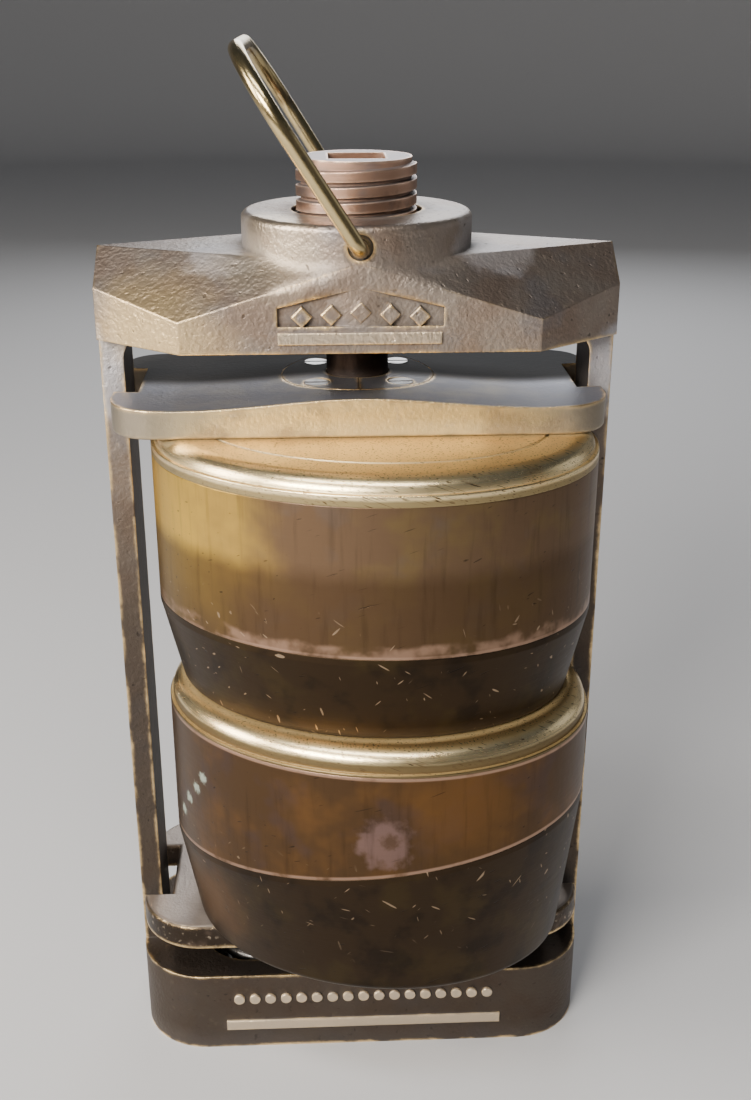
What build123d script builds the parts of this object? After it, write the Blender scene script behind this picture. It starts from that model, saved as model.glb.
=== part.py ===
from build123d import *
import math
import os

# Double flask press (spring compress) holding two stacked denture flasks.
# Millimetres. Origin at the middle of the base foot, +X right, +Y to the back, +Z up.

# Frame casting
WIDTH = 89.0                 # over base, columns and head
COLUMN_THICK = 4.0
COLUMN_HALF_DEPTH = 6.0
BASE_HALF_DEPTH = 19.0
BASE_TOP = 17.5
BASE_CORNER = 13.0
HEAD_HALF_DEPTH = 19.8
HEAD_BOTTOM = 143.5
HEAD_TOP = 158.0
HEAD_FRONT_HALF = 29.6       # half width of the head's front face
HEAD_SIDE_HALF = 8.2         # half width of the head's side face
FACET_LOW = 148.8            # where the sloping facets reach the front corners
COLLAR_RADIUS = 19.75
COLLAR_TOP = 163.9
POCKET = (64.0, 28.0)        # spring pocket in the base
POCKET_FLOOR = 5.0
SPRING_X = 20.0
SPRING_RADIUS = 8.6          # to the middle of the wire
SPRING_WIRE = 2.4
SPRING_TURNS = 4

# Press screw
SCREW_CREST = 10.3
SCREW_PITCH = 2.5
THREAD_DEPTH = 0.85
THREAD_FOOT = 1.12           # half width of the blunt thread at its root and at its crest
THREAD_TIP = 0.80
CROWN_THICK = 1.8            # plain ring above the thread
SCREW_TOP = 172.6
SCREW_SHOULDER = 142.1       # lower end of the threaded part
NECK_RADIUS = 5.5
BUTTON_RADIUS = 7.6
SOCKET_SQUARE = 9.6

# Pressure plates
PLATE_HALF_DEPTH = 19.5
UPPER_PLATE = (129.02, 133.9)
PLATE_CROWN = 1.8            # rise of the upper plate between its shoulders
LOWER_PLATE = (25.0, 30.0)
NOTCH_INNER = 38.2
NOTCH_HALF_DEPTH = 8.0

# Split retainer and thrust washer under the screw
RETAINER_RADIUS = 13.5
RETAINER_THICK = 2.6
RETAINER_STEP = 1.0          # depth of the step that takes the top of the button
RETAINER_SCREW_CIRCLE = 10.2
RETAINER_SCREW_RADIUS = 1.25
RETAINER_HEAD_RADIUS = 2.3
RETAINER_HEAD_THICK = 1.3
RETAINER_HEAD_SINK = 0.3
THRUST_SEAT = 131.4

# Guide stud of the lower plate, with its boss and well in the base
STUD_RADIUS = 3.0
STUD_BOSS_RADIUS = 9.0
STUD_BOSS_TOP = 15.5
STUD_WELL_RADIUS = 6.6
STUD_WELL_TOP = 12.0
WASHER_TOP = 11.98
WASHER_THICK = 1.0
NUT_HEIGHT = 3.6
NUT_FLATS = 9.0
PLUG_THICK = 1.5             # cap pressed into the mouth of the well

# Bail
BAIL_PIVOT_Z = 160.5
BAIL_WIRE = 1.3              # wire radius
BAIL_LEAN = 32.5             # degrees from upright, towards -X
BAIL_LENGTH = 35.0
BAIL_FOOT_HALF = 23.4
BAIL_TOP_HALF = 28.0
BAIL_BEND = 13.0             # radius of the two upper bends
BAIL_KNEE = 2.2              # radius of the bends into the collar
BAIL_MOUTH = 2.1             # radius and depth of the holes' wider mouths
BAIL_MOUTH_DEPTH = 1.0

# Flasks
FLASK_HALF_WIDTH = 39.0
FLASK_FRONT = 30.5           # from the widest section forward
FLASK_BACK = 33.0
FLASK_WALL = 3.4
FLASK_TAPER = 3.6            # inset of the foot against the rim
BEAD_RADIUS = 3.0            # rounded shoulder of the lid
BEAD_INSET = 0.6
LID_GROOVE = (8.2, 8.9)      # fine groove round the flat middle of the lid, as insets
GROOVE_DEPTH = 0.35
SPIGOT = 2.5                 # rim of the lid that drops into the ring
FLOOR_THICK = 4.0
DISC_INSET = 13.0            # knockout opening against the outline
PIN_RADIUS = 0.8
PIN_INSET = 2.0              # from the outline to the pin's axis
PIN_REACH = 3.0              # register pin above and below the seam
PIN_ANGLES = (40, 140, -82)  # round the outline, from the flask's right
GAP = 0.02                   # between pieces that only rest on each other

# Levels of each flask; turn is about Z, seam_tilt about the flask's own front axis
FLASKS = [
    {"name": "upper", "centre": (2.35, -10.7), "turn": -10.5, "foot": 81.52,
     "seam": 98.4, "seam_tilt": 0.0, "lid": 124.6, "top": 129.0, "flange": 1.9},
    {"name": "lower", "centre": (2.95, -12.1), "turn": -13.3, "foot": 30.02,
     "seam": 56.3, "seam_tilt": 8.5, "lid": 77.2, "top": 81.5, "flange": 0.5},
]

OUT = "parts"


def save(shape, node):
    shape.label = node
    export_step(shape, f"{OUT}/{node}.step")


def box_between(x, y, z):
    """Box between two corners given as (low, high) per axis."""
    size = [hi - lo for lo, hi in (x, y, z)]
    middle = [(hi + lo) / 2 for lo, hi in (x, y, z)]
    return Pos(*middle) * Box(*size)


def disc(radius, low, high, x=0.0, y=0.0):
    return Pos(x, y, (low + high) / 2) * Cylinder(radius, high - low)


def slab(width, depth, corner, low, high):
    """Rounded rectangle in plan, extruded between two levels."""
    plan = RectangleRounded(width, depth, corner)
    return Pos(0, 0, low) * extrude(plan, high - low)


# ---------------------------------------------------------------- frame

def head_block():
    """Chamfered block whose four facets fall from a flat diamond to the corners."""
    half = WIDTH / 2
    outline = [(HEAD_FRONT_HALF, -HEAD_HALF_DEPTH), (half, -HEAD_SIDE_HALF),
               (half, HEAD_SIDE_HALF), (HEAD_FRONT_HALF, HEAD_HALF_DEPTH),
               (-HEAD_FRONT_HALF, HEAD_HALF_DEPTH), (-half, HEAD_SIDE_HALF),
               (-half, -HEAD_SIDE_HALF), (-HEAD_FRONT_HALF, -HEAD_HALF_DEPTH)]
    plan = make_face(Polyline(*outline, close=True))
    block = Pos(0, 0, HEAD_BOTTOM) * extrude(plan, HEAD_TOP - HEAD_BOTTOM)
    for sx in (-1, 1):
        for sy in (-1, 1):
            apex = Vector(0, sy * HEAD_HALF_DEPTH, HEAD_TOP)
            side = Vector(sx * half, 0, HEAD_TOP)
            corner = Vector(sx * HEAD_FRONT_HALF, sy * HEAD_HALF_DEPTH, FACET_LOW)
            normal = (side - apex).cross(corner - apex).normalized()
            if normal.Z < 0:
                normal = normal * -1
            cutter = Plane(origin=apex, x_dir=(side - apex).normalized(), z_dir=normal)
            block -= cutter * Pos(0, 0, 20) * Box(160, 160, 40)
    return block


def head_panel():
    """Recess with a peaked top in the front face, to be filled by the lozenges."""
    outline = [(-13.5, 147.9), (13.5, 147.9), (13.5, 151.0), (0, 154.2), (-13.5, 151.0)]
    face = make_face(Polyline(*outline, close=True))
    return Plane(origin=(0, -HEAD_HALF_DEPTH + 0.8, 0), x_dir=(1, 0, 0),
                 z_dir=(0, -1, 0)) * extrude(face, 5)


def head_relief():
    """Five plain lozenges in the panel and the bar under it."""
    relief = box_between((-13.5, 13.2), (-HEAD_HALF_DEPTH - 0.5, -HEAD_HALF_DEPTH + 1),
                         (145.1, 147.0))
    for step in range(-2, 3):
        rise = 150.2 - 0.35 * abs(step)
        stone = Pos(4.8 * step, -HEAD_HALF_DEPTH + 0.5, rise) * Rot(0, 45, 0) * Box(2.4, 1.2, 2.4)
        relief += stone
    return relief


def base_relief():
    """Bar and row of round beads on the front of the base."""
    front = -BASE_HALF_DEPTH
    relief = box_between((-27.5, 27.5), (front - 0.6, front + 1), (4.7, 6.8))
    for step in range(-8, 9):
        bead = Pos(3.1 * step, front, 12.1) * Rot(90, 0, 0) * Cylinder(1.05, 1.2)
        relief += bead
    return relief


def screw_collar():
    """Round collar of the screw, whose foot just reaches the apex of the head's front face."""
    collar = disc(COLLAR_RADIUS, HEAD_BOTTOM + 2, COLLAR_TOP)
    return fillet(collar.edges().group_by(Axis.Z)[-1], 1.2)


def crosswise_disc(radius, y, thick):
    """Disc on the bail's axis, facing front and back."""
    return Pos(0, y, BAIL_PIVOT_Z) * Rot(90, 0, 0) * Cylinder(radius, thick)


def spring_pocket():
    """Hollow of the base: pocket, with the guide boss left standing in it."""
    pocket = slab(*POCKET, 9, POCKET_FLOOR, BASE_TOP + 1)
    boss = disc(STUD_BOSS_RADIUS, POCKET_FLOOR - 1, STUD_BOSS_TOP)
    return pocket - boss


def frame_casting():
    half = WIDTH / 2
    body = slab(WIDTH, 2 * BASE_HALF_DEPTH, BASE_CORNER, 0, BASE_TOP)
    for sx in (-1, 1):
        inner, outer = sorted((sx * (half - COLUMN_THICK), sx * half))
        body += box_between((inner, outer), (-COLUMN_HALF_DEPTH, COLUMN_HALF_DEPTH),
                            (BASE_TOP - 6, HEAD_BOTTOM + 3))
    body += head_block()
    body -= head_panel()
    body += head_relief() + base_relief()
    roots = [e for e in body.edges().filter_by(Axis.Y)
             if abs(e.center().Z - HEAD_BOTTOM) < 0.01
             and abs(abs(e.center().X) - (half - COLUMN_THICK)) < 0.01]
    body = fillet(roots, 4.0)
    body += screw_collar()
    body -= spring_pocket()
    body -= disc(SCREW_CREST + 0.05, HEAD_BOTTOM - 1, COLLAR_TOP + 1)
    body -= disc(SCREW_CREST + 0.9, COLLAR_TOP - 0.9, COLLAR_TOP + 1)
    body -= disc(STUD_RADIUS + 0.06, 0, STUD_BOSS_TOP + 1)
    body -= disc(STUD_WELL_RADIUS, -1, STUD_WELL_TOP)
    for sy in (-1, 1):
        body -= crosswise_disc(BAIL_WIRE + 0.05, sy * (COLLAR_RADIUS - 2), 8)
        body -= crosswise_disc(BAIL_MOUTH, sy * COLLAR_RADIUS, 2 * BAIL_MOUTH_DEPTH)
    return body


# ---------------------------------------------------------------- springs

def coil_spring(x):
    low = POCKET_FLOOR + SPRING_WIRE / 2
    high = LOWER_PLATE[0] - SPRING_WIRE / 2 - GAP
    pitch = (high - low) / SPRING_TURNS
    path = Helix(pitch=pitch, height=high - low, radius=SPRING_RADIUS)
    start = Plane(origin=path @ 0, z_dir=path % 0)
    coil = sweep(start * Circle(SPRING_WIRE / 2), path=path, is_frenet=True)
    return Pos(x, 0, low) * coil


# ---------------------------------------------------------------- screw and plates

def plate_top_mid():
    return UPPER_PLATE[1] + PLATE_CROWN


def thread_ridge(low, high):
    """One right-hand helical ridge on the core of the press screw."""
    root = SCREW_CREST - THREAD_DEPTH
    path = Helix(pitch=SCREW_PITCH, height=high - low, radius=root)
    sink = 0.25
    profile = make_face(Polyline((-sink, -THREAD_FOOT), (THREAD_DEPTH, -THREAD_TIP),
                                 (THREAD_DEPTH, THREAD_TIP), (-sink, THREAD_FOOT), close=True))
    start = Plane(origin=path @ 0, x_dir=(1, 0, 0), z_dir=path % 0)
    return Pos(0, 0, low) * sweep(start * profile, path=path, is_frenet=True)


def press_screw():
    root = SCREW_CREST - THREAD_DEPTH
    margin = SCREW_PITCH / 2
    body = disc(root, SCREW_SHOULDER, SCREW_TOP)
    body += thread_ridge(SCREW_SHOULDER + margin, SCREW_TOP - CROWN_THICK)
    crown = disc(SCREW_CREST - 0.2, SCREW_TOP - CROWN_THICK, SCREW_TOP)
    body += fillet(crown.edges().group_by(Axis.Z)[-1], 0.6)
    neck_low = THRUST_SEAT + 1.0
    button_top = plate_top_mid() - RETAINER_THICK + RETAINER_STEP - 0.1
    body += disc(NECK_RADIUS, neck_low, SCREW_SHOULDER + 0.5)
    body += disc(BUTTON_RADIUS, neck_low, button_top)
    body -= Pos(0, 0, SCREW_TOP - 4) * Box(SOCKET_SQUARE, SOCKET_SQUARE, 10)
    return body


def plate_plan(half_width, corner, low, high):
    """Pressure plate blank, notched at both ends to ride on the columns."""
    blank = slab(2 * half_width, 2 * PLATE_HALF_DEPTH, corner, low, high)
    for sx in (-1, 1):
        inner, outer = sorted((sx * NOTCH_INNER, sx * (half_width + 5)))
        blank -= box_between((inner, outer), (-NOTCH_HALF_DEPTH, NOTCH_HALF_DEPTH),
                             (low - 1, high + 1))
    return blank


def crown_profile():
    """Front view of the upper plate: flat underside, softly arched top."""
    low, high = UPPER_PLATE
    shoulder = 31.0
    arch = Spline((-shoulder, high), (0, high + PLATE_CROWN), (shoulder, high),
                  tangents=((1, 0), (1, 0)))
    side = WIDTH / 2
    rest = Polyline((shoulder, high), (side, high + 0.5), (side, low), (-side, low),
                    (-side, high + 0.5), (-shoulder, high))
    face = make_face([arch, rest])
    front = Plane(origin=(0, PLATE_HALF_DEPTH + 1, 0), x_dir=(1, 0, 0), z_dir=(0, -1, 0))
    return front * extrude(face, 2 * PLATE_HALF_DEPTH + 2)


def upper_pressure_plate():
    low = UPPER_PLATE[0]
    plate = plate_plan(42.3, 7.5, low, plate_top_mid() + 2) & crown_profile()
    plate = fillet(plate.edges().group_by(Axis.Z)[0], 0.6)
    seat_top = plate_top_mid()
    plate -= disc(BUTTON_RADIUS + 0.3, THRUST_SEAT, seat_top + 1)
    plate -= disc(RETAINER_RADIUS + 0.1, retainer_low(), seat_top + 1)
    for x, y in retainer_screw_places():
        plate -= disc(RETAINER_SCREW_RADIUS, THRUST_SEAT - 0.6, seat_top, x, y)
    return plate


def retainer_low():
    """Underside of the split ring, which lies flush in the top of the upper plate."""
    return plate_top_mid() - RETAINER_THICK


def retainer_head_low():
    """Underside of the retainer screws' heads."""
    return plate_top_mid() - RETAINER_HEAD_SINK - RETAINER_HEAD_THICK


def retainer_screw_places():
    reach = RETAINER_SCREW_CIRCLE
    turn = [math.radians(a) for a in (45, 135, 225, 315)]
    return [(reach * math.cos(a), reach * math.sin(a)) for a in turn]


def retainer_half(side):
    """Half of the split ring that holds the screw's button in the plate."""
    low = retainer_low()
    ring = disc(RETAINER_RADIUS, low, low + RETAINER_THICK)
    ring -= disc(NECK_RADIUS + 0.2, low - 1, low + RETAINER_THICK + 1)
    ring -= disc(BUTTON_RADIUS + 0.3, low - 1, low + RETAINER_STEP)
    ring &= crown_profile()
    reach = 2 * RETAINER_RADIUS
    inner, outer = sorted((side * 0.05, side * reach))
    ring &= box_between((inner, outer), (-reach, reach), (low - 1, low + 10))
    for x, y in retainer_screw_places():
        if x * side > 0:
            ring -= disc(RETAINER_SCREW_RADIUS, low - 1, low + 10, x, y)
            ring -= disc(RETAINER_HEAD_RADIUS, retainer_head_low(), low + 10, x, y)
    return ring


def retainer_screws():
    head = retainer_head_low()
    top = head + RETAINER_HEAD_THICK
    screws = []
    for x, y in retainer_screw_places():
        screw = disc(RETAINER_SCREW_RADIUS, THRUST_SEAT - 0.6, head, x, y)
        screw += disc(RETAINER_HEAD_RADIUS, head, top, x, y)
        screw -= Pos(x, y, top) * Box(5, 0.6, 1.0)
        screws.append(screw)
    return Compound(children=screws)


def thrust_washer():
    return disc(BUTTON_RADIUS + 0.1, THRUST_SEAT, THRUST_SEAT + 1.0 - GAP)


def lower_pressure_plate():
    low, high = LOWER_PLATE
    plate = plate_plan(43.7, 12.0, low, high)
    plate = fillet(plate.edges().group_by(Axis.Z)[-1], 0.9)
    plate -= disc(STUD_RADIUS, low - 1, high - 1.0)
    return plate


def guide_stud():
    bottom = WASHER_TOP - WASHER_THICK - NUT_HEIGHT - 0.8
    return disc(STUD_RADIUS, bottom, LOWER_PLATE[1] - 1.0)


def stud_washer():
    return disc(5.6, WASHER_TOP - WASHER_THICK, WASHER_TOP) - disc(STUD_RADIUS, 0, 30)


def base_plug():
    """Cap that closes the nut's well flush with the foot."""
    return disc(STUD_WELL_RADIUS, 0, PLUG_THICK)


def stud_nut():
    top = WASHER_TOP - WASHER_THICK
    hexagon = RegularPolygon(NUT_FLATS / 2, 6, major_radius=False)
    nut = Pos(0, 0, top - NUT_HEIGHT) * extrude(hexagon, NUT_HEIGHT)
    return nut - disc(STUD_RADIUS, 0, 30)


# ---------------------------------------------------------------- bail

def bail_handle():
    """U-shaped wire with inturned feet, leaning in its collar holes."""
    foot, top = BAIL_FOOT_HALF, BAIL_TOP_HALF
    corners = [(-COLLAR_RADIUS + 4, 0), (-foot, 0), (-top, BAIL_LENGTH),
               (top, BAIL_LENGTH), (foot, 0), (COLLAR_RADIUS - 4, 0)]
    path = Wire(Polyline(*corners).edges())
    upper = [v for v in path.vertices() if v.Y > BAIL_LENGTH - 1]
    path = path.fillet_2d(BAIL_BEND, upper)
    lower = [v for v in path.vertices() if abs(v.Y) < 0.01 and abs(abs(v.X) - foot) < 0.01]
    path = path.fillet_2d(BAIL_KNEE, lower)
    start = Plane(origin=corners[0], z_dir=(-1, 0, 0))
    wire = sweep(start * Circle(BAIL_WIRE), path=path)
    lean = math.radians(BAIL_LEAN)
    upright = (-math.sin(lean), 0, math.cos(lean))
    side = Vector(0, 1, 0).cross(Vector(*upright))
    frame = Plane(origin=(0, 0, BAIL_PIVOT_Z), x_dir=(0, 1, 0), z_dir=side)
    return frame * wire


# ---------------------------------------------------------------- flasks

def oval(inset=0.0):
    """Flask outline: two half ellipses on the widest section, drawn in by inset."""
    across = FLASK_HALF_WIDTH - inset
    front = EllipticalCenterArc((0, 0), across, FLASK_FRONT - inset, 180, arc_size=180)
    back = EllipticalCenterArc((0, 0), across, FLASK_BACK - inset, 0, arc_size=180)
    return make_face([front, back])


def oval_slab(inset, low, high):
    return Pos(0, 0, low) * extrude(oval(inset), high - low)


def seam_plane(flask, lift=0.0):
    """Parting plane of ring and body, sloping up towards the flask's right."""
    slope = math.radians(flask["seam_tilt"])
    normal = (-math.sin(slope), 0, math.cos(slope))
    return Plane(origin=(0, 0, flask["seam"] + lift), x_dir=(math.cos(slope), 0, math.sin(slope)),
                 z_dir=normal)


def above(shape, plane):
    return split(shape, bisect_by=plane, keep=Keep.TOP)


def below(shape, plane):
    return split(shape, bisect_by=plane, keep=Keep.BOTTOM)


def pin_places():
    """Points inside the wall: two at the back quarters and one at the front."""
    places = []
    for angle in PIN_ANGLES:
        depth = FLASK_BACK if angle > 0 else FLASK_FRONT
        turn = math.radians(angle)
        places.append(((FLASK_HALF_WIDTH - PIN_INSET) * math.cos(turn), (depth - PIN_INSET) * math.sin(turn)))
    return places


def pin_level(flask, x):
    return flask["seam"] + math.tan(math.radians(flask["seam_tilt"])) * x


def register_pins(flask):
    """Three dowels across the parting seam, in the middle of the wall."""
    return [disc(PIN_RADIUS, pin_level(flask, x) - PIN_REACH, pin_level(flask, x) + PIN_REACH, x, y)
            for x, y in pin_places()]


def flask_pins(flask):
    return Compound(children=register_pins(flask))


def drill_pins(shape, flask):
    for pin in register_pins(flask):
        shape -= pin
    return shape


def flask_lid(flask):
    """Cover with a flange, a broad rounded shoulder and a fine groove round its flat middle."""
    low, top = flask["lid"], flask["top"]
    lid = oval_slab(0.0, low, low + flask["flange"])
    lid = fillet(lid.edges().group_by(Axis.Z)[-1], 0.2)
    shoulder = oval_slab(BEAD_INSET, low, top)
    lid += fillet(shoulder.edges().group_by(Axis.Z)[-1], BEAD_RADIUS)
    outer, inner = LID_GROOVE
    lid -= oval_slab(outer, top - GROOVE_DEPTH, top + 1) - oval_slab(inner, top - 1, top + 2)
    rim = oval_slab(FLASK_WALL + 0.1, low - SPIGOT, low + 0.5)
    rim -= oval_slab(FLASK_WALL + 2.6, low - SPIGOT - 1, low)
    return lid + rim


def flask_ring(flask):
    """Middle ring: straight walls from the parting seam up to the lid."""
    reach = 12.0
    ring = oval_slab(0.0, flask["seam"] - reach, flask["lid"])
    ring -= oval_slab(FLASK_WALL, flask["seam"] - reach - 1, flask["lid"] + 1)
    ring = above(ring, seam_plane(flask))
    return drill_pins(ring, flask)


def body_blank(flask, inset, lift, foot):
    """Tapered solid from the parting seam down to the foot level."""
    tube = oval_slab(inset, flask["seam"] - 14, flask["seam"] + 14)
    rim = below(above(tube, seam_plane(flask, -lift)), seam_plane(flask))
    section = rim.faces().filter_by(lambda f: f.normal_at().dot(seam_plane(flask).z_dir) < -0.99)
    bottom = Pos(0, 0, foot) * oval(inset + FLASK_TAPER)
    return rim + loft([section[0], bottom])


def flask_body(flask):
    """Lower half: tapered cup whose floor is open for the knockout disc."""
    foot = flask["foot"]
    body = body_blank(flask, 0.0, 1.2, foot)
    body = fillet(body.edges().group_by(Axis.Z)[0], 1.5)
    body -= body_blank(flask, FLASK_WALL, 1.2, foot + FLOOR_THICK)
    body -= oval_slab(DISC_INSET, foot - 1, foot + FLOOR_THICK + 1)
    body -= oval_slab(DISC_INSET - 2.5, foot + FLOOR_THICK / 2, foot + FLOOR_THICK + 1)
    return drill_pins(body, flask)


def knockout_disc(flask):
    foot = flask["foot"]
    plug = oval_slab(DISC_INSET + 0.1, foot, foot + FLOOR_THICK)
    return plug + oval_slab(DISC_INSET - 2.4, foot + FLOOR_THICK / 2, foot + FLOOR_THICK)


def flask_pieces(flask):
    place = Pos(*flask["centre"], 0) * Rot(0, 0, flask["turn"])
    makers = {"lid": flask_lid, "ring": flask_ring, "body": flask_body,
              "knockout_disc": knockout_disc, "register_pins": flask_pins}
    for piece, maker in makers.items():
        yield f"{flask['name']}_flask_{piece}", place * maker(flask)


def main():
    os.makedirs(OUT, exist_ok=True)
    pieces = {
        "frame_casting": frame_casting(),
        "base_spring_left": coil_spring(-SPRING_X),
        "base_spring_right": coil_spring(SPRING_X),
        "bail_handle": bail_handle(),
        "press_screw": press_screw(),
        "thrust_washer": thrust_washer(),
        "upper_pressure_plate": upper_pressure_plate(),
        "screw_retainer_left": retainer_half(-1),
        "screw_retainer_right": retainer_half(1),
        "retainer_screws": retainer_screws(),
        "lower_pressure_plate": lower_pressure_plate(),
        "guide_stud": guide_stud(),
        "guide_stud_washer": stud_washer(),
        "guide_stud_nut": stud_nut(),
        "base_plug": base_plug(),
    }
    for flask in FLASKS:
        pieces.update(flask_pieces(flask))
    for node, shape in pieces.items():
        save(shape, node)


if __name__ == "__main__":
    main()
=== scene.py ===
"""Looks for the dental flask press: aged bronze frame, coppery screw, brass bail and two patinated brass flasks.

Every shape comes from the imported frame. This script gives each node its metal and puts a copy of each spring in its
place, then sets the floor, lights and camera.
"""

import math

import bpy
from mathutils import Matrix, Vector

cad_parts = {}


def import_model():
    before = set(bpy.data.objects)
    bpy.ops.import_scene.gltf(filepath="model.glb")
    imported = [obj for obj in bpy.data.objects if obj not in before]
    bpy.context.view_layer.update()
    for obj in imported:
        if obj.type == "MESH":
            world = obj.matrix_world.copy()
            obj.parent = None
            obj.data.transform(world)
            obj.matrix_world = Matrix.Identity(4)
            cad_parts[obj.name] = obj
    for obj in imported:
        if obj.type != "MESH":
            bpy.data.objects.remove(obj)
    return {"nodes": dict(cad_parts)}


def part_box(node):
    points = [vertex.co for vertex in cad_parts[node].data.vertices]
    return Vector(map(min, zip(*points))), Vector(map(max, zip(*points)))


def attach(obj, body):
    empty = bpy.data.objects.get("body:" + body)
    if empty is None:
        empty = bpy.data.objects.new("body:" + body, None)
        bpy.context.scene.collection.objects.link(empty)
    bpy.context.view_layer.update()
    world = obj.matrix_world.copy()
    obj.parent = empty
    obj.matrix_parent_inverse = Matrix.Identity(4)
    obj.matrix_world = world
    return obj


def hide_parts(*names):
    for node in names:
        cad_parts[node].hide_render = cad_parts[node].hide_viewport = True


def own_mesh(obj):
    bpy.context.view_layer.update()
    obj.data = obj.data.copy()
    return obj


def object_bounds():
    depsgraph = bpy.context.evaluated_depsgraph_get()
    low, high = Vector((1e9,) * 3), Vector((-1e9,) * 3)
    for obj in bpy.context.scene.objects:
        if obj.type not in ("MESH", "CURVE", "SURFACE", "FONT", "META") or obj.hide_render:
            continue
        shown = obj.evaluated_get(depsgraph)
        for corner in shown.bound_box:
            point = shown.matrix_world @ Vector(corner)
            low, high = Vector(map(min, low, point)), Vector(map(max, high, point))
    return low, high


MM = 0.001

# Metals, as linear colours
BRONZE = (0.34, 0.285, 0.24)
BRONZE_ROSE = (0.28, 0.20, 0.15)
BRONZE_GREY = (0.25, 0.245, 0.26)
BRONZE_PALE = (0.78, 0.64, 0.47)
BRONZE_GOLD = (1.0, 0.72, 0.36)
# the frame's bronze in painted shade
BRONZE_SHADED = (0.046, 0.034, 0.025)
BRONZE_DARK = (0.035, 0.028, 0.024)
PLATE_YELLOW = (1.0, 0.80, 0.42)
PLATE_END_SHADE = (0.34, 0.29, 0.22)
PLATE_TOP_SHEEN = (0.28, 0.29, 0.34)
PLATE_DUSTY = (0.50, 0.43, 0.38)
# pale colour of painted highlights
PALE_SHEEN = (0.62, 0.62, 0.66)
COPPER_BRONZE = (0.52, 0.32, 0.225)
COPPER_BRIGHT = (1.0, 0.70, 0.52)
COPPER_DARK = (0.060, 0.042, 0.034)
BRASS = (1.0, 0.80, 0.45)
BRASS_ORANGE = (0.95, 0.62, 0.26)
BRASS_TAN = (0.50, 0.36, 0.17)
BRASS_OLIVE = (0.55, 0.43, 0.22)
# painted shade on the lids' flanges
FLANGE_SHADE_UPPER = (0.33, 0.25, 0.12)
FLANGE_SHADE_LOWER = (0.12, 0.082, 0.034)
BRASS_BROWN = (0.10, 0.062, 0.030)
BRASS_UMBER = (0.032, 0.020, 0.012)
LID_FLAT = (0.95, 0.66, 0.27)
WALL_HIGHLIGHT = (0.84, 0.53, 0.08)
WALL_TAN = (0.165, 0.105, 0.062)
WALL_OLIVE = (0.21, 0.145, 0.060)
WALL_GREY = (0.15, 0.115, 0.095)
WALL_BROWN = (0.088, 0.051, 0.026)
WALL_ORANGE = (0.19, 0.092, 0.030)
WALL_MAUVE = (0.080, 0.052, 0.045)
# painted reflection of dark surroundings on the flasks' lower walls
FOOT_SHADE = (0.040, 0.026, 0.015)
FOOT_OLIVE = (0.060, 0.042, 0.018)
WORN_PINK = (0.46, 0.29, 0.20)
SCRATCH = (0.42, 0.30, 0.19)
PINK_STAIN = (0.22, 0.14, 0.125)
LIME = (0.50, 0.56, 0.48)
STEEL = (0.42, 0.41, 0.40)
STEEL_DARK = (0.10, 0.095, 0.09)
RUST = (0.14, 0.065, 0.035)
# black of soot, also laid as painted shadow
SOOT_AND_SHADOW = (0.012, 0.010, 0.009)

# Where the marks are, in millimetres
BASE_SHADE = (152, 84)       # painted shade: the frame darkens from the first height down to the second
WALL_BORDER = (115.0, 110.5)
BASE_FACE = 19.0             # how far forward the faces that carry the raised borders lie
HEAD_FACE = 19.8
COLLAR_RADIUS = 19.75
COLLAR_FOOT = 156.5
LEFT_CHAMFER = (-35, -17, 144)  # painted gold, as if the light caught it
COLLAR_LIGHT = (-15, -14, 160)  # painted pale, as if the light caught it
COLUMN_SHEEN = (43, -4, 138)  # painted highlight at the right column's top; the left has the same
# painted highlight beside the collar's foot, on both sides
SHOULDER_SHEEN = (22, -8, 158)
COLUMN_SHADE_TOP = (150, 140)      # painted shade: the columns' inner sides are dark below these heights
PLATE_SHADED_ENDS = (16, 40)        # painted shade: the upper plate's front darkens this far to either side
UPPER_PLATE_ABOVE = 0.1      # metres: of the plates and their small bronze parts, those at the top are above this
# painted shadow: the screw is black from the first height down to the second, in the gap under the head
SCREW_SHADOW = (146, 142)
# middle of the gold highlight painted on the upper flask
UPPER_HIGHLIGHT_AT = (-34, -22, 116)
ORANGE_AT = (17, -42, 71)
STAIN_HOLE = (0.9, 0, 0.6)   # from the stain's middle to the clear patch inside it
FOOT_ORANGE_AT = (-30, -26, 41)
TOP_SHADE = (-5, 1)          # behind this the upper plate's top is painted dark, as if in the head's shadow
STAIN_AT = (2.9, -42.9, 64.1)
SPECKS = ((-28.9, -26.7, 68.2), (-30.2, -24.9, 65.0), (-31.9, -22.2, 61.4), (-33.3, -19.5, 57.3))
SEAM_AT = (2.95, -12.1, 56.3)
SEAM_SLOPE = 8.5
SEAM_TURN = -13.3

# Camera
CAMERA_AT = (-7.5, -235.0, 197.3)
CAMERA_PITCH = 22.33
CAMERA_YAW = 2.62
CAMERA_LENS = 44.07

# Studio
FLOOR_RADIUS = 1.6
FLOOR_CURVE = 0.5
FLOOR_WALL = 1.2
FLOOR_COLOUR = (0.52, 0.52, 0.53, 1)


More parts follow.
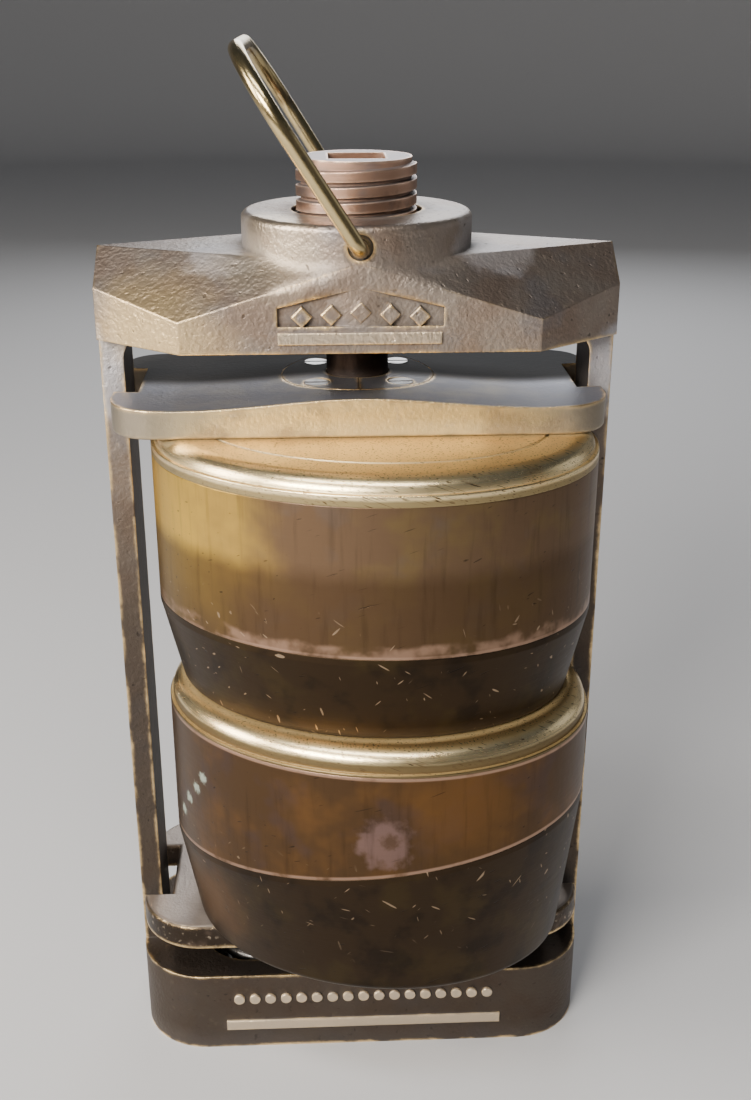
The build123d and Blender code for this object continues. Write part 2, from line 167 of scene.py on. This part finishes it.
class Metal:
    """One metal's shader. Each layer below paints over the colour, roughness and height that came before it."""

    def __init__(self, name, colour, roughness):
        self.material = bpy.data.materials.new(name)
        self.material.use_nodes = True
        self.tree = self.material.node_tree
        self.tree.nodes.clear()
        self.metallic = 1.0
        coordinates = self.add("ShaderNodeTexCoord")
        self.normal = coordinates.outputs["Normal"]
        metres = coordinates.outputs["Object"]
        scaled = self.add("ShaderNodeVectorMath", operation="SCALE", Vector=metres, Scale=1 / MM)
        self.place = scaled.outputs["Vector"]
        self.colour = (*colour, 1)
        self.roughness = roughness
        self.height = 0.0

    def add(self, kind, **values):
        """A node whose settings and inputs are given by name. An input may be a number, a colour or an output."""
        node = self.tree.nodes.new(kind)
        sockets = {s.identifier: s for s in node.inputs}
        for key in [k for k in values if k not in sockets]:
            setattr(node, key, values[key])
        sockets = {s.identifier: s for s in node.inputs}
        for key in [k for k in values if k in sockets]:
            if isinstance(values[key], bpy.types.NodeSocket):
                self.tree.links.new(values[key], sockets[key])
            else:
                sockets[key].default_value = values[key]
        return node

    def math(self, operation, a, b=0.0, clamp=False):
        node = self.add("ShaderNodeMath", operation=operation, use_clamp=clamp, Value=a, Value_001=b)
        return node.outputs["Value"]

    def times(self, *values):
        result = values[0]
        for value in values[1:]:
            result = self.math("MULTIPLY", result, value)
        return result

    def fade(self, value, low, high):
        """0 where value is at low or past it, 1 at high, and smooth between."""
        node = self.add("ShaderNodeMapRange", interpolation_type="SMOOTHSTEP")
        self.tree.links.new(value, node.inputs["Value"])
        node.inputs["From Min"].default_value = low
        node.inputs["From Max"].default_value = high
        return node.outputs["Result"]

    def noise(self, size, detail=3.0, turn=(0, 0, 0), shift=0.0):
        """Cloudy noise from 0 to 1, its lumps size millimetres across, or three sizes along turned axes."""
        sizes = size if isinstance(size, tuple) else (size,) * 3
        mapped = self.add(
            "ShaderNodeMapping",
            vector_type="TEXTURE",
            Vector=self.place,
            Location=(shift, shift, shift),
            Rotation=tuple(math.radians(t) for t in turn),
            Scale=sizes,
        )
        node = self.add("ShaderNodeTexNoise", Vector=mapped.outputs["Vector"], Scale=1.0)
        node.inputs["Detail"].default_value = detail
        node.inputs["Roughness"].default_value = 0.55
        return node.outputs["Fac"]

    def mix(self, kind, mask, a, b):
        """a where mask is 0 and b where it is 1. The kind is Color or Float."""
        data_type = {"Color": "RGBA", "Float": "FLOAT"}[kind]
        values = {"Factor_Float": mask, f"A_{kind}": a, f"B_{kind}": b}
        node = self.add("ShaderNodeMix", data_type=data_type, **values)
        return next(s for s in node.outputs if s.identifier == f"Result_{kind}")

    def paint(self, mask, colour=None, roughness=None, raised=0.0, metallic=None):
        """Lays a colour, a roughness, a height in millimetres and a share of metal where mask is 1."""
        if metallic is not None:
            self.metallic = self.mix("Float", mask, self.metallic, metallic)
        if colour is not None:
            self.colour = self.mix("Color", mask, self.colour, (*colour, 1))
        if roughness is not None:
            self.roughness = self.mix("Float", mask, self.roughness, roughness)
        if raised:
            self.height = self.math("ADD", self.height, self.times(mask, raised))

    def mottle(self, colour, size, low, high, strength=1.0, roughness=None, shift=0.0):
        """Cloudy patches of another colour."""
        mask = self.fade(self.noise(size, shift=shift), low, high)
        self.paint(self.times(mask, strength), colour, roughness)

    def grain(self, size, height, shift=0.0):
        """The fine lumps of a casting, or of a rubbed surface."""
        self.height = self.math("ADD", self.height, self.times(self.noise(size, shift=shift), height))

    def turning(self, pitch, height):
        """Fine rings round the vertical axis, as a lathe or a spinning tool leaves."""
        rings = self.noise((80, 80, pitch), detail=1.0)
        self.height = self.math("ADD", self.height, self.times(rings, height))
        self.roughness = self.math("ADD", self.roughness, self.times(rings, 0.08))

    def looks_up(self, low, high):
        """1 on faces that look up."""
        up = self.add("ShaderNodeVectorMath", operation="DOT_PRODUCT", Vector=self.normal, Vector_001=(0, 0, 1))
        return self.fade(up.outputs["Value"], low, high)

    def dust_and_sheen(self, colour, strength=1.0, roughness=None):
        """Dust and oxide that lie on the faces that look up, with painted sheen of the light above."""
        mask = self.looks_up(0.75, 0.97)
        patchy = self.math("ADD", self.times(self.noise(7.0, shift=21), 0.6), 0.65, clamp=True)
        self.paint(self.times(mask, patchy, strength), colour, roughness)

    def inward(self):
        """1 on faces that look sideways at the screw's axis."""
        x_axis = (1, 0, 0)
        across = self.add("ShaderNodeVectorMath", operation="DOT_PRODUCT", Vector=self.normal, Vector_001=x_axis)
        outward = self.times(across.outputs["Value"], self.math("SIGN", self.along(x_axis)))
        return self.fade(outward, -0.3, -0.8)

    def corners(self, colour, reach, strength=1.0):
        """Darker and not metal where surfaces meet, as far as ambient occlusion reaches."""
        open_air = self.add("ShaderNodeAmbientOcclusion", samples=6, Distance=reach * MM).outputs["AO"]
        shut = self.math("SUBTRACT", 1.0, self.math("POWER", open_air, 1.6), clamp=True)
        broken = self.times(shut, self.math("ADD", self.noise(3.0, shift=7), 0.45))
        self.paint(self.math("MULTIPLY", broken, strength, clamp=True), colour, 0.6, metallic=0.0)

    def edges(self, colour, reach, strength, broken=0.5):
        """Outer edges rubbed bright. The more broken, up to 1, the less of each edge is bright."""
        inside = self.add("ShaderNodeAmbientOcclusion", samples=6, inside=True, Distance=reach * MM).outputs["AO"]
        edge = self.math("SUBTRACT", 1.0, inside, clamp=True)
        fine = self.math("ADD", self.noise(1.1, shift=3), 0.35)
        worn = self.fade(self.noise(7.0, shift=13), broken - 0.22, broken + 0.16)
        rubbed = self.times(edge, fine, self.math("ADD", self.times(worn, 0.85), 0.25))
        self.paint(self.times(self.fade(rubbed, 0.12, 0.42), strength), colour, 0.25)

    def scratches(self, colour, length, width, rarity, turn, shift=0.0, near=1.0, strength=1.0):
        """Short marks that all run one way. A higher rarity, up to 1, leaves fewer of them."""
        marks = self.noise((length, width * 2, width), detail=0.0, turn=(0, turn, 0), shift=shift)
        mask = self.fade(marks, rarity, rarity + 0.04)
        self.paint(self.times(mask, near, strength), colour, 0.3, -0.02)

    def along(self, direction):
        """Distance along a direction from the frame's origin, in millimetres."""
        node = self.add("ShaderNodeVectorMath", operation="DOT_PRODUCT", Vector=self.place, Vector_001=direction)
        return node.outputs["Value"]

    def from_axis(self):
        """Distance from the screw's axis, in millimetres."""
        flat = self.add("ShaderNodeVectorMath", operation="MULTIPLY", Vector=self.place, Vector_001=(1, 1, 0))
        return self.add("ShaderNodeVectorMath", operation="LENGTH", Vector=flat.outputs["Vector"]).outputs["Value"]

    def level(self, wobble=0.0):
        """Height above the base, in millimetres, with a wobble that makes a band's border uneven."""
        height = self.along((0, 0, 1))
        if not wobble:
            return height
        uneven = self.math("SUBTRACT", self.noise(6.0, shift=11), 0.5)
        return self.math("ADD", height, self.times(uneven, 2 * wobble))

    def band(self, low, high, colour, strength=1.0, roughness=None, wobble=0.0):
        """A colour that comes in from height low to height high."""
        self.paint(self.times(self.fade(self.level(wobble), low, high), strength), colour, roughness)

    def near(self, value, middle, width):
        """1 where value is at middle, and 0 from width away."""
        away = self.math("ABSOLUTE", self.math("SUBTRACT", value, middle))
        return self.math("SUBTRACT", 1.0, self.fade(away, width * 0.3, width))

    def line(self, value, middle, width, colour, broken=0.45, strength=1.0):
        """A thin worn line that comes and goes along its length."""
        worn = self.fade(self.noise(5.0, shift=17), broken - 0.15, broken + 0.1)
        self.paint(self.times(self.near(value, middle, width), worn, strength), colour, 0.3)

    def spot(self, centre, radius, colour, strength=1.0, roughness=None, ragged=0.5, soft=0.2):
        """A round ragged stain about a point. The softer, up to 1, the more slowly it fades out."""
        away = self.add("ShaderNodeVectorMath", operation="DISTANCE", Vector=self.place, Vector_001=centre)
        uneven = self.math("SUBTRACT", self.noise(radius * 0.6, shift=5), 0.5)
        reach = self.math("ADD", away.outputs["Value"], self.times(uneven, radius * ragged * 2))
        inside = self.math("SUBTRACT", 1.0, self.fade(reach, radius * (1 - soft), radius * (1 + soft)))
        self.paint(self.times(inside, strength), colour, roughness)

    def finish(self, rounding=0.35, rounder=None, extra=0.0):
        """Joins the layers to a metal shader. Edges look rounded by so many millimetres, more where rounder is 1."""
        radius = rounding * MM
        if rounder is not None:
            radius = self.math("ADD", self.times(rounder, extra * MM), radius)
        soft = self.add("ShaderNodeBevel", samples=6, Radius=radius).outputs["Normal"]
        bump = self.add("ShaderNodeBump", Strength=1.0, Distance=MM, Height=self.height, Normal=soft)
        shader = self.add("ShaderNodeBsdfPrincipled")
        self.tree.links.new(self.metallic, shader.inputs["Metallic"])
        self.tree.links.new(self.colour, shader.inputs["Base Color"])
        self.tree.links.new(self.roughness, shader.inputs["Roughness"])
        self.tree.links.new(bump.outputs["Normal"], shader.inputs["Normal"])
        output = self.add("ShaderNodeOutputMaterial")
        self.tree.links.new(shader.outputs["BSDF"], output.inputs["Surface"])
        return self.material


def mirrored(place, side):
    """The same place on the left, where side is -1, or on the right, where it is 1."""
    return side * place[0], place[1], place[2]


def cast_bronze(name, low, high):
    """Sand-cast bronze of the frame, with painted shade that makes it darker and browner towards the base."""
    metal = Metal(name, BRONZE, 0.46)
    metal.mottle(BRONZE_ROSE, 16.0, 0.42, 0.64, 0.7)
    metal.mottle(BRONZE_GREY, 9.0, 0.50, 0.72, 0.5, shift=4)
    metal.mottle(BRONZE_PALE, 1.6, 0.62, 0.80, 0.35, shift=9)
    metal.dust_and_sheen(BRONZE_GREY, 0.25)
    # painted shade: darker and browner towards the base
    metal.band(*BASE_SHADE, BRONZE_SHADED, 0.85, 0.55, wobble=8)
    for side in (-1, 1):
        # painted highlights at the tops of the columns and beside the collar's foot
        metal.spot(mirrored(COLUMN_SHEEN, side), 9, PALE_SHEEN, 0.65, 0.6)
        metal.spot(mirrored(SHOULDER_SHEEN, side), 7, PALE_SHEEN, 0.35, 0.7)
    metal.spot(LEFT_CHAMFER, 11, BRONZE_GOLD, 0.75, 0.32, soft=0.6)
    metal.spot(COLLAR_LIGHT, 8, BRONZE_PALE, 0.7, 0.3, soft=0.6)
    # painted shade on the columns' inner sides
    metal.paint(metal.times(metal.inward(), metal.fade(metal.level(), *COLUMN_SHADE_TOP), 0.8), BRONZE_SHADED, 0.6)
    metal.grain(0.7, 0.13)
    metal.grain(2.6, 0.16, shift=2)
    pits = metal.fade(metal.noise(1.3, 1.0, shift=31), 0.68, 0.78)
    metal.paint(metal.times(pits, 0.6), BRONZE_DARK, 0.6, -0.08)
    metal.corners(BRONZE_DARK, 5.0)
    metal.edges(BRONZE_GOLD, 1.0, 0.9)
    forward = metal.along((0, -1, 0))
    base_proud = metal.fade(forward, BASE_FACE + 0.1, BASE_FACE + 0.4)
    low_border = metal.times(base_proud, metal.fade(metal.level(), 30, 20))
    head_proud = metal.fade(forward, HEAD_FACE + 0.1, HEAD_FACE + 0.4)
    high_border = metal.times(head_proud, metal.fade(metal.level(), 148, 147))
    rubbed = metal.math("ADD", low_border, high_border, clamp=True)
    metal.paint(metal.times(rubbed, 0.8), BRONZE_PALE, 0.32)
    round_collar = metal.near(metal.from_axis(), COLLAR_RADIUS + 1, 5)
    foot = metal.times(round_collar, metal.near(metal.level(), COLLAR_FOOT, 6))
    return metal.finish(0.4, foot, 2.4)


def plate_bronze(name, low, high):
    """Cast bronze of the pressure plates: yellow on the rubbed edges and grey on top, on the upper plate a painted
    reflection.
    """
    upper = low.z > UPPER_PLATE_ABOVE
    # painted shade: the lower plate takes the frame's shaded bronze
    metal = Metal(name, PLATE_YELLOW if upper else BRONZE_SHADED, 0.40)
    metal.mottle(BRONZE_ROSE, 8.0, 0.48, 0.66, 0.5)
    metal.mottle(BRONZE_PALE, 1.2, 0.58, 0.74, 0.5, shift=9)
    if upper:
        # painted shade towards the ends of the upper plate's front
        sideways = metal.math("ABSOLUTE", metal.along((1, 0, 0)))
        metal.paint(metal.fade(sideways, *PLATE_SHADED_ENDS), PLATE_END_SHADE)
    # painted reflection of the light above on the upper plate's top; dust on the lower plate's top
    metal.dust_and_sheen(PLATE_TOP_SHEEN if upper else PLATE_DUSTY, 0.95, 0.5)
    metal.grain(0.6, 0.07)
    metal.grain(2.0, 0.05, shift=2)
    metal.corners(BRONZE_DARK, 4.0, 0.8)
    metal.edges(BRONZE_GOLD, 1.0, 0.9, broken=0.42)
    if upper:
        # painted shadow: the upper plate's top is black behind the head's front
        head_shadow = metal.times(metal.fade(metal.along((0, 1, 0)), *TOP_SHADE), metal.looks_up(0.3, 0.6))
        metal.paint(head_shadow, SOOT_AND_SHADOW, 0.8, metallic=0.0)
    return metal.finish()


def copper_screw(name, low, high):
    metal = Metal(name, COPPER_BRONZE, 0.34)
    metal.mottle(COPPER_DARK, 4.0, 0.52, 0.74, 0.55)
    metal.mottle(BRONZE_GREY, 6.0, 0.50, 0.70, 0.5, shift=8)
    metal.dust_and_sheen(BRONZE_GREY, 0.8, 0.45)
    metal.turning(0.3, 0.02)
    metal.grain(0.7, 0.03)
    # painted shadow on the screw under the head
    metal.band(*SCREW_SHADOW, SOOT_AND_SHADOW, 0.95, 0.5)
    metal.corners(COPPER_DARK, 1.6)
    metal.edges(COPPER_BRIGHT, 0.7, 0.9, broken=0.40)
    return metal.finish(0.2)


def brass_wire(name, low, high):
    metal = Metal(name, BRASS_OLIVE, 0.22)
    metal.mottle(BRASS_BROWN, 8.0, 0.52, 0.70, 0.6)
    metal.mottle(BRONZE_GREY, 3.0, 0.56, 0.74, 0.4, shift=6)
    metal.grain(0.9, 0.03)
    metal.corners(BRASS_UMBER, 3.0)
    return metal.finish(0.2)


def flask_lid(name, low, high):
    """Polished lid, dulled on its lower flange, which is also painted dark as painted shade."""
    metal = Metal(name, BRASS, 0.23)
    metal.mottle(BRASS_ORANGE, 10.0, 0.50, 0.70, 0.5)
    metal.mottle(BRASS_TAN, 5.0, 0.60, 0.78, 0.3, shift=5)
    flange_shade, polish = (FLANGE_SHADE_UPPER, 3.0) if name.startswith("upper") else (FLANGE_SHADE_LOWER, 1.9)
    # painted shade: the flange below the bead is dark, darker on the lower lid
    metal.band(high.z / MM - polish, high.z / MM - polish - 0.6, flange_shade, 0.92, 0.36, wobble=0.2)
    metal.dust_and_sheen(LID_FLAT, 0.75, 0.34)
    metal.turning(0.35, 0.008)
    metal.grain(1.0, 0.015)
    metal.scratches(BRASS_BROWN, 5, 0.12, 0.70, 20)
    metal.corners(BRASS_BROWN, 1.5, 0.5)
    metal.line(metal.level(), low.z / MM + 0.3, 0.6, WORN_PINK, strength=0.8)
    return metal.finish(0.3)


def flask_wall(name, low, high):
    """Upper part of a flask's wall. The upper flask has a painted gold highlight above and is brown below, the lower
    one brown.
    """
    if name.startswith("upper"):
        metal = Metal(name, WALL_TAN, 0.36)
        metal.mottle(WALL_OLIVE, 11.0, 0.46, 0.66, 0.6)
        metal.mottle(WALL_GREY, 8.0, 0.54, 0.72, 0.45, shift=6)
        # painted highlight: gold on the upper flask's upper left
        metal.spot(UPPER_HIGHLIGHT_AT, 16, WALL_HIGHLIGHT, 0.85, 0.32, soft=0.7)
        metal.band(*WALL_BORDER, WALL_BROWN, 0.75, wobble=1.2)
    else:
        metal = Metal(name, WALL_BROWN, 0.34)
        metal.mottle(WALL_ORANGE, 11.0, 0.46, 0.76, 0.6)
        metal.mottle(WALL_MAUVE, 9.0, 0.50, 0.68, 0.6, shift=6)
        metal.spot(ORANGE_AT, 9, WALL_ORANGE, 0.6, soft=0.7)
        metal.spot(STAIN_AT, 4.4, PINK_STAIN, 0.75, 0.6, ragged=0.8, soft=0.3)
        hole = tuple(Vector(STAIN_AT) + Vector(STAIN_HOLE))
        metal.spot(hole, 1.4, WALL_BROWN, 0.7, ragged=0.8, soft=0.5)
        for at in SPECKS:
            metal.spot(at, 1.0, LIME, 0.8, 0.7, ragged=1.1, soft=0.4)
    streaks = metal.fade(metal.noise((1.6, 1.6, 16), shift=19), 0.50, 0.78)
    metal.paint(metal.times(streaks, 0.30), BRASS_UMBER)
    handled(metal, low.z / MM, 5.0)
    if name.startswith("upper"):
        metal.line(metal.level(1.6), low.z / MM + 1.2, 1.6, WORN_PINK, broken=0.54, strength=0.55)
        metal.line(metal.level(), low.z / MM + 0.2, 0.5, WORN_PINK, broken=0.46, strength=0.6)
    else:
        metal.line(seam_height(metal), 0.3, 0.5, WORN_PINK, broken=0.40, strength=0.7)
        metal.line(metal.level(), high.z / MM - 0.3, 0.5, WORN_PINK, broken=0.36, strength=0.8)
    return metal.finish(0.3)


def flask_foot(name, low, high):
    """Lower part of a flask's wall, painted nearly black as a painted reflection of dark surroundings."""
    metal = Metal(name, FOOT_SHADE, 0.40)
    metal.mottle(FOOT_OLIVE, 9.0, 0.50, 0.68, 0.5)
    metal.mottle(SOOT_AND_SHADOW, 7.0, 0.50, 0.70, 0.5, shift=6)
    if name.startswith("lower"):
        metal.spot(FOOT_ORANGE_AT, 8, WALL_ORANGE, 0.5, soft=0.7)
    handled(metal, high.z / MM, 14.0)
    return metal.finish(0.3)


def handled(metal, height, reach):
    """Tool rings, grain and darkening where surfaces meet that every flask wall has, with scratches around one height.
    """
    metal.turning(0.3, 0.008)
    metal.grain(1.2, 0.02)
    metal.corners(BRASS_UMBER, 3.0, 0.8)
    around = metal.near(metal.level(), height, reach * 2)
    for turn, length, rarity in ((35, 5.0, 0.815), (-50, 4.0, 0.82), (75, 3.0, 0.81), (10, 6.0, 0.83)):
        metal.scratches(SCRATCH, length, 0.6, rarity, turn, turn, around, 0.7)
    metal.scratches(SOOT_AND_SHADOW, 8.0, 0.4, 0.80, -20, 40, 1.0, 0.6)


def seam_height(metal):
    """Height above the lower flask's sloping seam."""
    slope, turn = math.radians(SEAM_SLOPE), math.radians(SEAM_TURN)
    up = Vector((-math.sin(slope) * math.cos(turn), -math.sin(slope) * math.sin(turn), math.cos(slope)))
    return metal.math("SUBTRACT", metal.along(tuple(up)), up.dot(Vector(SEAM_AT)))


def steel(name, low, high):
    metal = Metal(name, STEEL, 0.34)
    metal.mottle(STEEL_DARK, 3.0, 0.45, 0.70)
    metal.mottle(RUST, 2.0, 0.60, 0.76, 0.6, 0.7, shift=3)
    metal.grain(0.4, 0.02)
    metal.corners(SOOT_AND_SHADOW, 2.0)
    return metal.finish(0.15)


FINISHES = {
    "cast_bronze": cast_bronze,
    "plate_bronze": plate_bronze,
    "screw_copper_bronze": copper_screw,
    "brass_wire": brass_wire,
    "flask_lid_brass": flask_lid,
    "flask_wall_brass": flask_wall,
    "flask_foot_brass": flask_foot,
    "steel_hardware": steel,
    "spring_steel": steel,
}


def dress(nodes):
    """Gives every node the finish of its material slot."""
    for name, node in nodes.items():
        slot = node.data.materials[0].name.split(".")[0]
        node.data.materials[0] = FINISHES[slot](f"{name}_metal", *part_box(name))


def shorten_springs(frame):
    """Stands a copy of each spring in its place, attached to the root body, and hides the spring itself.
    Stands a copy for each rigid spring that shortens onto the base by the lower plate's travel.
    """
    for name in ("base_spring_left", "base_spring_right"):
        coil = bpy.data.objects.new(f"{name}_coil", frame["nodes"][name].data.copy())
        bpy.context.scene.collection.objects.link(coil)
        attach(coil, "root")
        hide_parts(name)
        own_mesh(coil)


def aim(thing, at, target):
    thing.location = at
    thing.rotation_euler = (Vector(target) - Vector(at)).to_track_quat("-Z", "Y").to_euler()


def softbox(name, at, target, size, power, colour):
    light = bpy.data.lights.new(name, "AREA")
    light.shape = "RECTANGLE"
    light.size, light.size_y = size
    light.energy = power
    light.color = colour
    thing = bpy.data.objects.new(name, light)
    bpy.context.scene.collection.objects.link(thing)
    aim(thing, at, target)


def make_floor():
    """A round pale floor that curves up into a wall far from the object."""
    curve = [(FLOOR_RADIUS, 0.0)]
    steps = 24
    for i in range(1, steps + 1):
        turn = math.pi / 2 * i / steps
        out, up = FLOOR_CURVE * math.sin(turn), FLOOR_CURVE * (1 - math.cos(turn))
        curve.append((FLOOR_RADIUS + out, up))
    curve.append((FLOOR_RADIUS + FLOOR_CURVE, FLOOR_WALL))
    sides = 96
    turns = [2 * math.pi * s / sides for s in range(sides)]
    points = [(r * math.cos(t), r * math.sin(t), z) for r, z in curve for t in turns]
    faces = [tuple(range(sides))]
    for ring in range(len(curve) - 1):
        for s in range(sides):
            a, b = ring * sides + s, ring * sides + (s + 1) % sides
            faces.append((a + sides, b + sides, b, a))
    mesh = bpy.data.meshes.new("floor")
    mesh.from_pydata(points, [], faces)
    mesh.polygons.foreach_set("use_smooth", [False] + [True] * (len(faces) - 1))
    mesh.materials.append(floor_paper())
    floor = bpy.data.objects.new("floor", mesh)
    bpy.context.scene.collection.objects.link(floor)


def floor_paper():
    paper = bpy.data.materials.new("floor_paper")
    paper.use_nodes = True
    shader = paper.node_tree.nodes["Principled BSDF"]
    shader.inputs["Base Color"].default_value = FLOOR_COLOUR
    shader.inputs["Roughness"].default_value = 0.9
    return paper


def make_light(target):
    world = bpy.data.worlds.new("studio")
    bpy.context.scene.world = world
    world.use_nodes = True
    world.node_tree.nodes["Background"].inputs["Color"].default_value = (0.75, 0.85, 1.0, 1)
    world.node_tree.nodes["Background"].inputs["Strength"].default_value = 0.07
    softbox("key", (-0.34, -0.52, 0.42), target + Vector((0, 0, 0.04)), (0.34, 0.20), 8.5, (1.0, 0.95, 0.88))
    softbox("side", (-0.62, -0.16, 0.34), target, (0.25, 0.35), 4.5, (1.0, 0.93, 0.84))
    softbox("top", (-0.12, -0.30, 0.74), target, (0.50, 0.14), 2.6, (1.0, 0.97, 0.93))
    softbox("back", (0.10, 0.72, 0.45), target, (0.4, 0.4), 2.4, (0.95, 0.97, 1.0))
    softbox("fill", (0.75, 0.15, 0.30), target, (0.4, 0.4), 0.2, (0.95, 0.97, 1.0))


def make_camera():
    camera = bpy.data.objects.new("camera", bpy.data.cameras.new("camera"))
    bpy.context.scene.collection.objects.link(camera)
    camera.location = Vector(CAMERA_AT) * MM
    camera.rotation_euler = (math.radians(90 - CAMERA_PITCH), 0, -math.radians(CAMERA_YAW))
    camera.data.sensor_width = 36
    camera.data.lens = CAMERA_LENS
    camera.data.clip_start = 0.01
    bpy.context.scene.camera = camera


def main():
    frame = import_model()
    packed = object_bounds()
    dress(frame["nodes"])
    shorten_springs(frame)
    centre = (packed[0] + packed[1]) / 2
    make_floor()
    make_light(centre)
    make_camera()


main()
